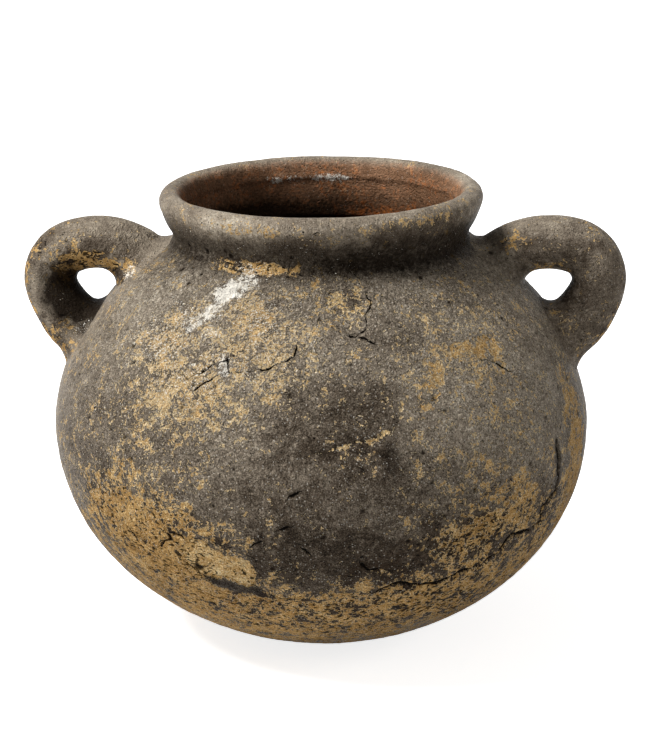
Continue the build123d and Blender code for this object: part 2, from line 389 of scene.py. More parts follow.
# How far inside a flake's edge each point lies, in mm, with a minus outside it
def flakeDepth(points, azimuth, run, path):
    most = wallLook["flakeReach"]
    corners = np.array(path, float)
    middle = corners.mean(axis=0)
    middleRun = outerRun(middle[1])
    radius = radiusAt(middleRun)
    x = radius * np.radians(wrapped(azimuth - middle[0]))
    y = run - middleRun
    u = radius * np.radians(corners[:, 0] - middle[0])
    v = np.array([outerRun(z) for z in corners[:, 1]]) - middleRun
    inward = np.full(len(points), -most)
    near = np.flatnonzero((np.abs(x) < np.abs(u).max() + most) & (np.abs(y) < np.abs(v).max() + most))
    if not len(near):
        return inward
    x, y = (side[near] + 1.1 * rough(points[near], 5, 3, 0.6, seed) for side, seed in ((x, 61), (y, 62)))
    gap = np.full(len(near), wallLook["farAway"])
    within = np.zeros(len(near), bool)
    for k in range(len(u)):
        du, dv = u[k] - u[k - 1], v[k] - v[k - 1]
        t = np.clip(((x - u[k - 1]) * du + (y - v[k - 1]) * dv) / (du * du + dv * dv), 0, 1)
        gap = np.minimum(gap, np.hypot(x - u[k - 1] - t * du, y - v[k - 1] - t * dv))
        if dv:
            within ^= ((v[k] > y) != (v[k - 1] > y)) & (x < u[k - 1] + (y - v[k - 1]) / dv * du)
    inward[near] = np.clip(np.where(within, gap, -gap), -most, most)
    return inward


# Wear of the wall and its relief in mm, at points given by place, azimuth from 0 to 360 and run along the outline
def wallWear(points, azimuth, run):
    look = wallLook
    z = points[:, 2]
    inside = smooth(run, crownRun + 2, crownRun + 9)
    wide, broad, mid, small = blotches(points, look["blotchMm"], 1)
    ragged = 0.32 * mid + 0.2 * small
    bare, slate, sootAndShade = (np.interp(z, look["heights"], look[name]) for name in ("bare", "slate", "sootAndShade"))
    masks = dict(
        bare=bare + 0.06 * wide + 0.1 * broad + 0.06 * mid,
        slate=slate + 0.15 * wide + 0.16 * broad,
        ochre=0.3 + 0.2 * broad + 0.4 * (1 - smooth(z, *look["ochreFades"])),
        chalk=-0.2 + 0.12 * broad + 0.08 * wide,
        sootAndShade=sootAndShade + 0.05 * wide,
    )
    for name, patches in wornPatches.items():
        for patch in patches:
            masks[name] += patchShare(azimuth, run, patch, ragged)
    crack, depth = np.zeros((2, len(points)))
    flaked, crackSide, nearest = (
        np.full(len(points), start) for start in (-look["flakeReach"], look["crackSpan"], look["farAway"]))
    for path, barer, yellower, lostDepth in flakes:
        inward = flakeDepth(points, azimuth, run, path)
        flaked = np.maximum(flaked, inward)
        share = smooth(inward, -0.6, 0.6)
        masks["bare"] += barer * share
        masks["ochre"] += yellower * share
        depth = np.maximum(depth, lostDepth * share)
    opening = lattice(points, 7, 57)
    for path, fullWidth, cutDepth in cracks:
        gap, side = lineGap(points, path, look["crackReach"])
        uneven = 0.5 if fullWidth > 1.5 else 1.2  # hair cracks close up here and there
        width = fullWidth * np.clip(0.9 + uneven * opening, 0.3, 1.5)
        crack = np.maximum(crack, 1 - smooth(gap, 1.4 * width, 2.4 * width))
        crackSide = np.where(gap < nearest, np.clip(side / width, -look["crackSpan"], look["crackSpan"]), crackSide)
        nearest = np.minimum(nearest, gap)
        depth = np.maximum(depth, cutDepth * (1 - smooth(gap, 0.25 * width, width)))
    for path, fullWidth, amount in limeRuns:
        gap = lineGap(points, path, look["limeReach"])[0] + 5.0 * mid + 2.5 * small
        narrow = fullWidth * (0.45 + 0.55 * smooth(z, *look["limeThins"]))  # it thins as it runs down
        masks["chalk"] += (amount + 0.3 * mid) * (1 - smooth(gap, 0.1 * narrow, 1.1 * narrow))
    # the inside: red-brown, more orange low on one side, with painted shade on the other side and further down, and
    # pale crumbs along the ridge that also stand in for its highlight (painted highlight)
    orange = (1 - smooth(np.abs(azimuth - look["orangeTurn"]), 20, 50)) * (1 - smooth(z, *look["orangeFades"]))
    leftInsideShade = smooth(azimuth, *look["leftShadeFrom"]) * (1 - smooth(azimuth, *look["leftShadeTo"]))
    atRidge = np.exp(-((z - neckFootZ - pot["ridgeRise"] - 1) / 2.6) ** 2)
    crumbsAndRidgeHighlight = atRidge * (1 - smooth(np.abs(azimuth - look["crumbsAndHighlightTurn"]), 12, 26))
    # painted shade, darker further down inside the pot and less where it is orange
    deep = 1.1 * (1 - smooth(z, *look["depthShadeFades"])) * (0.35 + 0.65 * smooth(z, *look["depthShadeStarts"]))
    lining = dict(
        ochre=0.75 * orange + 0.1 * broad,
        sootAndShade=0.02 + 0.34 * leftInsideShade + 0.12 * broad + deep * (1 - 0.6 * orange),
        chalk=-0.35 + (0.6 + 0.5 * mid + 0.3 * small) * crumbsAndRidgeHighlight,
    )
    for name, values in lining.items():
        masks[name] = masks[name] * (1 - inside) + inside * values
    leftSide = 1 - smooth(np.abs(wrapped(azimuth - look["rubbedTurn"])), 12, 30)
    gritty = (1 - 0.45 * smooth(z, *look["rubbedRim"])) * (1 - 0.35 * leftSide)
    masks.update(crack=crack * (1 - inside), crackSide=crackSide, flake=flaked,
                 gritty=gritty * (1 - inside) + 0.45 * inside, inside=inside)
    return masks, depth * (1 - inside)


# Height of the relief in mm, beside the size of what makes it
relief = dict(
    sway=0.4, swayMm=60, dent=0.18, dentMm=17, lump=0.1, insideLump=0.12, lumpMm=4.5, grain=0.08, grainMm=2.4,
    slipStep=0.2, pit=0.5, pitMm=5.5,
    pitFrom=0.86, pitSoot=0.9,  # share of the spots that have no pit, and how black a pit is
)


# Moves the surface along its normals: hand-made unevenness, the step where slip has flaked off, cracks and pits
def weathered(points, normals, masks, depth, calm):
    outside = 1 - masks["inside"]
    small = rough(points, relief["lumpMm"], 3, 0.5, 4)
    flaked = smooth(masks["bare"] + 0.3 * small, 0.35, 0.55)
    gap, own = scattered(points, relief["pitMm"], 5)
    pit = (1 - smooth(gap, 0.1, 0.3)) * (own > relief["pitFrom"])
    moved = relief["sway"] * rough(points, relief["swayMm"], 2, 0.5, 6)
    moved += relief["dent"] * rough(points, relief["dentMm"], 3, 0.5, 7)
    grains = relief["grain"] * rough(points, relief["grainMm"], 2, 0.6, 8)
    fine = relief["lump"] * small - relief["slipStep"] * flaked + grains - relief["pit"] * pit
    moved += calm * outside * fine - depth
    moved += masks["inside"] * relief["insideLump"] * small
    masks["sootAndShade"] += relief["pitSoot"] * pit * outside * calm
    return lean(points + normals * moved[:, None])


# Makes a mesh from rows of points in mm, each row a ring, and gives it its wear as attributes. The rows loop back to
# the first, or end at two poles. place says where the corner of a face lies on the bake map.
def clayPiece(name, nodes, rows, poles, masks, sharpRows, place, poleGap, material, mirrored=False):
    count, around = rows.shape[:2]
    i, j = np.meshgrid(np.arange(count - 1 if len(poles) else count), np.arange(around), indexing="ij")
    i, j = i.ravel(), j.ravel()
    corners = ((0, 0), (0, 1), (1, 1), (1, 0))
    faces = [np.stack([(i + up) % count * around + (j + on) % around for up, on in corners], 1)]
    places = [np.stack([place(i + up, j + on, j) for up, on in corners], 1)]
    cols = np.arange(around)
    for end in range(len(poles)):  # a fan from each pole to its row
        row, sides = np.full(around, end * (count - 1)), (1 - end, end)
        pole = np.full(around, count * around + end)
        tip = place(row, cols + 0.5, cols) + np.array([0, (2 * end - 1) * poleGap])
        faces.append(np.stack([pole, *(row * around + (cols + on) % around for on in sides)], 1))
        places.append(np.stack([tip, *(place(row, cols + on, cols) for on in sides)], 1))
    if mirrored:
        faces, places = ([part[:, ::-1] for part in parts] for parts in (faces, places))
    points = np.concatenate([rows.reshape(-1, 3), poles])
    mesh = bpy.data.meshes.new(name)
    mesh.vertices.add(len(points))
    mesh.vertices.foreach_set("co", (points / 1000).astype(np.float32).ravel())
    vertices = np.concatenate([f.ravel() for f in faces]).astype(np.int32)
    mesh.loops.add(len(vertices))
    mesh.loops.foreach_set("vertex_index", vertices)
    counts = np.concatenate([np.full(len(f), f.shape[1]) for f in faces])
    mesh.polygons.add(len(counts))
    mesh.polygons.foreach_set("loop_start", (np.cumsum(counts) - counts).astype(np.int32))
    mesh.update(calc_edges=True)
    rowOf = np.concatenate([np.repeat(np.arange(count), around), np.full(len(poles), -1)])
    rowOf = np.where(np.isin(rowOf, sharpRows), rowOf, -1)
    ends = np.empty(2 * len(mesh.edges), np.int32)
    mesh.edges.foreach_get("vertices", ends)
    first, second = rowOf[ends.reshape(-1, 2)].T
    mesh.edges.foreach_set("use_edge_sharp", (first >= 0) & (first == second))
    spots = np.concatenate([part.reshape(-1, 2) for part in places]).astype(np.float32)
    mesh.uv_layers.new(name="OFBake").uv.foreach_set("vector", spots.ravel())
    for key, values in masks.items():
        values = np.concatenate([values, values[[0, -1]][:len(poles)]]).astype(np.float32)
        mesh.attributes.new(key, "FLOAT", "POINT").data.foreach_set("value", values)
    mesh.shade_smooth()
    mesh.materials.append(material)
    piece = bpy.data.objects.new(name, mesh)
    bpy.context.scene.collection.objects.link(piece)
    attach(piece, "root")
    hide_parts(*nodes)
    print(name, "made:", len(points), "points", sum(len(f) * (f.shape[1] - 2) for f in faces), "triangles")


# Rings of the pot from the foot up, each with its node and the spacing of its rows outside and inside
ringShape = dict(
    pieces={
        "clay_base": ("base_bowl", 1.36, 6.0), "clay_belly": ("belly_wall", 0.95, 6.0),
        "clay_shoulder": ("shoulder_wall", 1.1, 5.0), "clay_neck": ("neck_ring", 0.8, 1.2),
        "clay_rim": ("rolled_rim", 0.7, 0.7),
    },
    around=840, seamRows=3, footRows=6, footMargin=4.0, wipedRim=(212, 224), crownGap=0.7,
    strips=3, mapEdge=0.004, stripEdge=0.01, poleGap=0.002,  # the bake map has strips one above another
    outsideShare=1.0, seamShare=0.15, insideShare=0.4,  # height on that map for each mm
)


# One ring of the pot: its outer and inner runs along the outline, joined by slanted seams inside the wall
def clayRing(name, node, outer, inner, outerStep, innerStep, material):
    shape = ringShape
    coarse = 1
    around = shape["around"] // coarse
    spans = [np.linspace(a, b, max(3, int(abs(b - a) / step / coarse)) + 1)
             for (a, b), step in ((outer, outerStep), (inner, innerStep))]
    closedFoot = outer[0] == 0
    if closedFoot:
        flat = outlineRun[footEdge] - shape["footMargin"]  # the flat underside takes fewer rows than the round wall
        foot = np.linspace(0, flat, shape["footRows"] + 1)[1:]
        spans = [np.concatenate([foot, spans[0][spans[0] > flat + 1]]), spans[1][:-1]]
    run = np.repeat(np.concatenate(spans), around)
    azimuth = np.tile(np.arange(around) * 2 * math.pi / around, sum(map(len, spans)))
    radius, height, nr, nz = (np.interp(run, outlineRun, v) for v in (*outline.T, *outlineNormals.T))
    points = turned(radius, azimuth, height)
    normals = turned(nr, azimuth, nz)
    masks, depth = wallWear(points, np.degrees(azimuth), run)
    calm = 1 - 0.65 * smooth(height, *shape["wipedRim"])  # the rim was wiped smooth
    moved = weathered(points, normals, masks, depth, calm)
    onFoot = (height < 0.02) & (run < crownRun)
    moved[onFoot] = lean(points[onFoot])
    moved[:, 2] = np.maximum(moved[:, 2], 0.0)
    split, seam = len(spans[0]), shape["seamRows"]

    def seamRows(values, a, b):
        shares = [(k + 1) / (seam + 1) for k in range(seam)]
        return [values[a] * (1 - t) + values[b] * t for t in shares]

    def allRows(values):  # up the outside, through the upper seam, down the inside and out through the lower seam
        above = [*values[:split], *seamRows(values, split - 1, split), *values[split:]]
        return np.stack(above if closedFoot else above + seamRows(values, -1, 0))

    rows = allRows(moved.reshape(-1, around, 3))
    masks = {key: allRows(values.reshape(-1, around)).ravel() for key, values in masks.items()}
    shares = [shape[key] for key in ("outsideShare", "seamShare", "insideShare", "seamShare")]
    shares = np.repeat(shares, [split, seam, len(spans[1]), 0 if closedFoot else seam])
    gaps = np.linalg.norm(np.diff(np.concatenate([rows, rows[:1]])[:, 0], axis=0), axis=1)
    tall = np.concatenate([[0], np.cumsum(gaps * shares)])
    tall /= tall[-1]
    strip = around // shape["strips"]

    def place(row, col, first):
        band = first // strip
        u = shape["mapEdge"] + (1 - 2 * shape["mapEdge"]) * (col - band * strip) / strip
        v = shape["stripEdge"] + (1 - 2 * shape["stripEdge"]) * tall[row]
        return np.stack([u, (band + v) / shape["strips"]], -1)

    sharpRows = [split - 1, split + seam]
    poles = np.zeros((0, 3))
    if closedFoot:
        poles = lean(np.array([[0, 0, 0], [0, 0, pot["floorThickness"]]], float))
    else:
        sharpRows += [len(rows) - seam - 1, 0]
    clayPiece(name, [node], rows, poles, masks, sharpRows, place, shape["poleGap"], material)


# Materials
def perMm(size):
    return 1000.0 / size


def tint(text):  # sRGB hex to linear
    parts = [int(text[k:k + 2], 16) / 255 for k in (1, 3, 5)]
    return tuple(p / 12.92 if p <= 0.04045 else ((p + 0.055) / 1.055) ** 2.4 for p in parts) + (1.0,)


def emptyTree(owner):
    owner.use_nodes = True
    owner.node_tree.nodes.clear()
    return owner.node_tree


def put(tree, kind, inputs=None, **settings):
    node = tree.nodes.new("ShaderNode" + kind)
    for key, value in settings.items():
        setattr(node, key, value)
    for key, value in (inputs or {}).items():
        if isinstance(value, bpy.types.Node):
            value = value.outputs[0]
        if isinstance(value, bpy.types.NodeSocket):
            tree.links.new(value, node.inputs[key])
        else:
            node.inputs[key].default_value = value
    return node


# Unglazed earthenware under a burnished grey-brown slip: matt and dark where the slip is left, paler
# gritty tan clay where it has worn through, chalky lime deposits, and open pits where temper has burnt out
claySpec = dict(
    slipTones=[(0.0, "#0f0b08"), (0.3, "#493f34"), (0.5, "#716659"), (0.7, "#988c7b"), (1.0, "#d4c9b6")],
    ochreTones=[(0.0, "#42301a"), (0.35, "#805f36"), (0.6, "#ae8852"), (0.8, "#c8a46c"), (1.0, "#e2ca9c")],
    paleTones=[(0.0, "#524330"), (0.35, "#8f7450"), (0.6, "#b5996e"), (0.8, "#d0b88f"), (1.0, "#f0e4cc")],
    insideTones=[(0.0, "#2a1a10"), (0.35, "#614632"), (0.6, "#826149"), (0.8, "#9e7b60"), (1.0, "#c9ab8d")],
    orangeTones=[(0.0, "#3a1c0c"), (0.35, "#84451f"), (0.6, "#a8602e"), (0.8, "#c47c45"), (1.0, "#dca873")],
    # the soot brown also paints shade, the edge cream paints highlights along worn edges, the chalk white also paints
    # glints, and the pit black also paints shadow lines
    burntBrown="#33261a", sootAndShadeBrown="#17100a", chalkAndGlintWhite="#ece6da", highlightCream="#dccaa4", pitAndShadowBlack="#0f0c09",
    # islands, flecks and grit as measured on the pot, the finest drawn coarser than real sand so that it shows
    islandMm=7.5, fleckMm=1.9, wormMm=2.1, gritMm=0.65, sandMm=1.6, scaleMm=4.0, pitMm=2.6, paleGrainAndGlintMm=1.25,
    swirlMm=7.0, swirlReach=0.003, bumpReach=0.005, rubbedBump=0.35, grittyBump=1.0,  # reaches in metres
    slipRoughness=0.36, clayRoughness=0.7, ior=1.5, specular=0.012,
)


def slippedEarthenware():
    spec = claySpec
    material = bpy.data.materials.new("slipped_earthenware")
    tree = emptyTree(material)
    times, timesPlus = dict(operation="MULTIPLY"), dict(operation="MULTIPLY_ADD")
    eased, inColour = dict(interpolation_type="SMOOTHSTEP"), dict(data_type="RGBA")
    names = ("bare", "slate", "ochre", "chalk", "sootAndShade", "crack", "inside", "crackSide", "flake", "gritty")
    bare, slate, ochre, chalk, sootAndShade, crack, inside, crackSide, flake, gritty = (
        put(tree, "Attribute", attribute_name=name).outputs["Fac"] for name in names)
    here = put(tree, "TexCoord").outputs["Object"]
    swirl = put(tree, "TexNoise", {"Vector": here, "Scale": perMm(spec["swirlMm"]), "Detail": 2.0})
    bent = put(tree, "VectorMath", {0: swirl.outputs["Color"], 1: (spec["swirlReach"],) * 3, 2: here}, **timesPlus)
    islands, flecks, scales, sand = (
        put(tree, "TexNoise", {"Vector": bent, "Scale": perMm(spec[size]), "Detail": detail})
        for size, detail in (("islandMm", 2.0), ("fleckMm", 2.0), ("scaleMm", 2.0), ("sandMm", 1.0)))
    hues = put(tree, "TexNoise", {"Vector": bent, "Scale": perMm(spec["fleckMm"]), "Detail": 2.0, "W": 3.0},
               noise_dimensions="4D")
    worms = put(tree, "TexNoise", {"Vector": bent, "Scale": perMm(spec["wormMm"]), "Detail": 1.0, "Distortion": 1.2})
    grit = put(tree, "TexNoise", {"Vector": here, "Scale": perMm(spec["gritMm"]), "Detail": 2.0, "Roughness": 0.6})
    line = put(tree, "Math", {0: worms, 1: -0.5}, operation="ADD")
    line = put(tree, "Math", {0: line}, operation="ABSOLUTE")
    # wear of each spot, broken up by islands, flecks, thin wandering lines and grit
    patchy = put(tree, "Math", {0: scales, 1: 2.4, 2: -1.2}, **timesPlus)  # bigger scraps of slip low down
    wear = put(tree, "Math", {0: patchy, 1: ochre, 2: -1.6}, **timesPlus)
    for source, gain in ((bare, 1.3), (islands, 1.4), (flecks, 2.0), (grit, 0.25), (line, -2.5)):
        wear = put(tree, "Math", {0: source, 1: gain, 2: wear}, **timesPlus)
    worn, dent = (put(tree, "MapRange", {"Value": wear, "From Min": low, "From Max": high}, **eased)
                  for low, high in ((0.52, 0.58), (0.36, 0.74)))
    # lighter and darker grains in the slip and in the clay, fewer where the slip was rubbed smooth
    grain = put(tree, "Math", {0: sand, 1: 0.15, 2: -0.575}, **timesPlus)
    grain = put(tree, "Math", {0: grit, 1: 1.0, 2: grain}, **timesPlus)
    grain = put(tree, "Math", {0: grain, 1: gritty}, **times)
    film = put(tree, "MapRange", {"Value": hues, "From Min": 0.45, "From Max": 0.55}, **eased)
    film = put(tree, "Math", {0: film, 1: gritty}, **times)
    slipTone = 0.395
    for source, gain in ((slate, -0.38), (grain, 0.95), (film, 0.07), (islands, 0.45)):
        slipTone = put(tree, "Math", {0: source, 1: gain, 2: slipTone}, **timesPlus)
    lost = put(tree, "Math", {0: flecks, 1: 1.6, 2: -0.8}, **timesPlus)
    lost = put(tree, "Math", {0: lost, 1: flake}, operation="ADD")
    lost = put(tree, "MapRange", {"Value": lost, "From Min": -0.25, "From Max": 0.25}, **eased)
    clayTone = 0.27
    for source, gain in ((islands, 0.7), (lost, 0.16), (grain, 1.4)):  # paler under a lost flake
        clayTone = put(tree, "Math", {0: source, 1: gain, 2: clayTone}, **timesPlus)
    tones = {}
    for name, tone in (("slipTones", slipTone), ("ochreTones", clayTone), ("paleTones", clayTone),
                       ("insideTones", slipTone), ("orangeTones", slipTone)):
        tones[name] = put(tree, "ValToRGB", {"Fac": tone})
        stops = tones[name].color_ramp.elements
        while len(stops) < len(spec[name]):
            stops.new(0.5)
        for stop, (spot, text) in zip(stops, spec[name]):
            stop.position = spot
            stop.color = tint(text)
    hue = ochre
    for source, gain in ((islands, 1.2), (hues, 1.6)):
        hue = put(tree, "Math", {0: source, 1: gain, 2: hue}, **timesPlus)
    hue = put(tree, "MapRange", {"Value": hue, "From Min": 1.35, "From Max": 2.1}, **eased)
    clay = put(tree, "Mix", {0: hue, 6: tones["paleTones"], 7: tones["ochreTones"]}, **inColour).outputs[2]
    burnt = put(tree, "MapRange", {"Value": ochre, "From Min": 0.45, "From Max": 0.95, "To Max": 0.85})
    slip = put(tree, "Mix", {0: burnt, 6: tones["slipTones"], 7: tint(spec["burntBrown"])}, **inColour).outputs[2]
    lining = put(tree, "Mix", {0: hue, 6: tones["insideTones"], 7: tones["orangeTones"]}, **inColour).outputs[2]
    colour = put(tree, "Mix", {0: worn, 6: slip, 7: clay}, **inColour).outputs[2]
    colour = put(tree, "Mix", {0: inside, 6: colour, 7: lining}, **inColour).outputs[2]
    # soot together with painted shade: under the rim, deep inside, on the left of the inside, by the handle holes and
    # low in front
    sootAndShadeShare = put(tree, "Math", {0: flecks, 1: 0.7, 2: sootAndShade}, **timesPlus)
    sootAndShadeShare = put(tree, "MapRange", {"Value": sootAndShadeShare, "From Min": 0.4, "From Max": 1.3, "To Max": 0.95})
    limed = chalk
    for source, gain in ((grit, 1.5), (flecks, 1.2)):
        limed = put(tree, "Math", {0: source, 1: gain, 2: limed}, **timesPlus)
    limed = put(tree, "MapRange", {"Value": limed, "From Min": 1.5, "From Max": 1.8}, **eased)
    # pits as short level dashes, most where the clay is bare low down
    flat = put(tree, "VectorMath", {0: bent, 1: (1.0, 1.0, 2.0)}, **times)
    pit = put(tree, "TexNoise", {"Vector": flat, "Scale": perMm(spec["pitMm"]), "Detail": 1.0})
    pit = put(tree, "Math", {0: ochre, 1: 0.2, 2: pit}, **timesPlus)
    pit = put(tree, "MapRange", {"Value": pit, "From Min": 0.8, "From Max": 0.86}, **eased)
    # pale specks, fewer where the slip was rubbed smooth, which stand in for glints of light on grains (painted
    # highlights), and dark pinholes
    cells = put(tree, "TexVoronoi", {"Vector": here, "Scale": perMm(spec["paleGrainAndGlintMm"])})
    own = put(tree, "SeparateColor", {0: cells.outputs["Color"]})
    dot = put(tree, "MapRange", {"Value": cells.outputs["Distance"], "From Min": 0.36, "From Max": 0.2}, **eased)
    paleGrainAndGlint, hole = (put(tree, "MapRange", {"Value": own, "From Min": low, "From Max": high})
                   for low, high in ((0.8, 0.9), (0.26, 0.14)))
    paleGrainAndGlint, hole = (put(tree, "Math", {0: part, 1: dot}, **times) for part in (paleGrainAndGlint, hole))
    paleGrainAndGlint = put(tree, "Math", {0: paleGrainAndGlint, 1: gritty}, **times)
    # thin lines standing in for the light and shade of the relief: a painted highlight along the worn edges of the
    # slip, painted shadow just outside them and under the edges of the film
    reliefLines = []
    for source, level, wide, thin in ((wear, 0.6, 0.12, 0.03), (wear, 0.38, 0.12, 0.03), (hues, 0.47, 0.06, 0.02)):
        edge = put(tree, "Math", {0: source, 1: -level}, operation="ADD")
        edge = put(tree, "Math", {0: edge}, operation="ABSOLUTE")
        edge = put(tree, "MapRange", {"Value": edge, "From Min": wide, "From Max": thin}, **eased)
        reliefLines.append(put(tree, "Math", {0: edge, 1: gritty}, **times))
    wornEdgeHighlight, edgeShadow, filmEdgeShadow = reliefLines
    # cracks, drawn finer than the mesh from their distance
    split = put(tree, "Math", {0: grit, 1: 0.9, 2: -0.45}, **timesPlus)
    split = put(tree, "Math", {0: split, 1: crackSide}, operation="ADD")
    split = put(tree, "Math", {0: split}, operation="ABSOLUTE")
    split = put(tree, "MapRange", {"Value": split, "From Min": 0.62, "From Max": 0.3}, **eased)
    crack = put(tree, "Math", {0: split, 1: crack}, **times)
    # laid over the colour: painted shadow and painted highlight lines at the edges, pale specks as painted glints,
    # soot with painted shade, lime, pinholes, pits and cracks
    for share, shade, most in (
            (filmEdgeShadow, "pitAndShadowBlack", 0.2), (edgeShadow, "pitAndShadowBlack", 0.6), (wornEdgeHighlight, "highlightCream", 0.42),
            (paleGrainAndGlint, "chalkAndGlintWhite", 0.36), (sootAndShadeShare, "sootAndShadeBrown", 1.0), (limed, "chalkAndGlintWhite", 0.9),
            (hole, "pitAndShadowBlack", 0.8), (pit, "pitAndShadowBlack", 0.9), (crack, "pitAndShadowBlack", 1.0)):
        part = put(tree, "Math", {0: share, 1: most}, **times)
        colour = put(tree, "Mix", {0: part, 6: colour, 7: tint(spec[shade])}, **inColour).outputs[2]
    height = 0.0
    for source, gain in ((flecks, 0.1), (sand, 0.2), (grit, 0.02), (film, 0.06), (line, -0.75), (pit, -0.15),
                         (dent, -0.16), (limed, 0.06), (crack, -0.3), (lost, -0.12)):
        height = put(tree, "Math", {0: source, 1: gain, 2: height}, **timesPlus)
    strength = put(tree, "MapRange", {"Value": gritty, "To Min": spec["rubbedBump"], "To Max": spec["grittyBump"]})
    bump = put(tree, "Bump", {"Height": height, "Strength": strength, "Distance": spec["bumpReach"]})
    dull = put(tree, "MapRange", {"Value": worn, "To Min": spec["slipRoughness"], "To Max": spec["clayRoughness"]})
    shader = put(tree, "BsdfPrincipled", {"Base Color": colour, "Roughness": dull, "Normal": bump,
                                          "IOR": spec["ior"], "Specular IOR Level": spec["specular"]})
    put(tree, "OutputMaterial", {"Surface": shader})
    return material


earthenware = slippedEarthenware()
print("material ready:", earthenware.name)

# Edges of the rings along the outline, from the foot up the outside and from the floor up the inside
halfSlant = pot["seamSlant"] / 2
outerEdges = [0, outerRun(pot["baseSeam"] + halfSlant), outerRun(pot["shoulderSeam"] + halfSlant),
              outerRun(neckFootZ), outerRun(neckFootZ + pot["neckRise"]), crownRun]
innerEdges = [outlineRun[-1], innerRun(pot["baseSeam"] - halfSlant), innerRun(pot["shoulderSeam"] - halfSlant),
              innerRun(innerTopZ), innerRun(neckFootZ + pot["ridgeRise"]), crownRun + ringShape["crownGap"]]
for k, (name, (node, outerStep, innerStep)) in enumerate(ringShape["pieces"].items()):
    outer, inner = outerEdges[k:k + 2], innerEdges[k:k + 2][::-1]
    clayRing(name, node, outer, inner, outerStep, innerStep, earthenware)

# Handles: a coil bent to a lopsided loop, whose ends spread over the wall where they were pressed and smeared on
handleShape = dict(
    coil=13.95, bendDrop=21.6, bendStandoff=20.8, bendRadius=18.25, bendHalfTurn=48.0, bendTilt=23.0,
    armRadius=41.0, upperArmTurn=75.0, lowerArmTurn=55.0,
    # reach of the smear: upper root on the outside and by the hole, then lower root
    spread=dict(right=(8.0, 10.0, 9.0, 8.0), left=(8.0, 14.0, 9.0, 8.0)),
    # clay left on the outside of the lower arm, and how far from the wall it starts and is full
    bulge=4.0, bulgeFrom=36.0, bulgeTo=4.0,
    sunk=0.8, around=128, rows=200, arcPoints=300, halvings=40, mapEdge=0.004, mapEnd=0.02, poleRows=2,
    blotchMm=(50, 22, 9, 4.5), gritty=0.55, calm=0.6,
)
# Wear of the coils: share of the way from upper to lower root, angle round the coil (0 outside, 90 front, 180 by the
# hole), half length along, half width round, amount
handlePatches = dict(
    right=dict(
        bare=[(0.14, 62, 5, 5, 0.26), (0.92, 110, 6, 7, 0.34), (0.3, 145, 18, 5, 0.4), (0.86, 8, 14, 5, 0.5)],
        ochre=[(0.14, 62, 8, 8, 0.3), (0.3, 145, 22, 7, 0.5), (0.86, 8, 16, 8, 0.6)],
        slate=[(0.3, 100, 16, 9, 0.4), (0.75, 90, 26, 20, 0.35)],
        # soot on this handle is mostly painted shade, by the hole (angle 150 to 180) and at the upper root
        sootAndShade=[(0.62, 180, 30, 22, 0.6), (0.85, 150, 20, 20, 0.4), (0.05, 90, 8, 24, 0.4), (0.8, 80, 24, 18, 0.1)],
    ),
    left=dict(
        bare=[(0.36, 130, 28, 9, 0.5), (0.75, 20, 22, 6, 0.28), (0.92, 50, 8, 10, 0.32), (0.05, 108, 4, 5, 0.4)],
        ochre=[(0.36, 130, 30, 11, 0.7), (0.72, 18, 28, 10, 0.45), (0.92, 50, 10, 14, 0.4), (0.08, 150, 10, 10, 0.4)],
        chalk=[(0.03, 108, 3, 4, 0.45), (0.97, 95, 4, 6, 0.3)],
        slate=[(0.22, 85, 18, 6, 0.4)],
        # soot on this handle is painted shade, by the hole (angle 150 to 180) along the lower arm and at the upper
        # root
        sootAndShade=[(0.7, 180, 28, 24, 1.9), (0.8, 150, 22, 16, 1.0), (0.06, 150, 12, 14, 0.15)],
    ),
)


def wallGap(points):  # distance outside the pot's wall, and the way straight out of it
    x, y, z = points.T
    ring = np.hypot(x, y)
    wallRadius, wallHeights = wallLine.T
    nr, nz = (np.interp(z, wallHeights, outlineNormals[footEdge:crown, k]) for k in (0, 1))
    return (ring - np.interp(z, wallHeights, wallRadius)) * nr, np.stack([nr * x / ring, nr * y / ring, nz], 1)


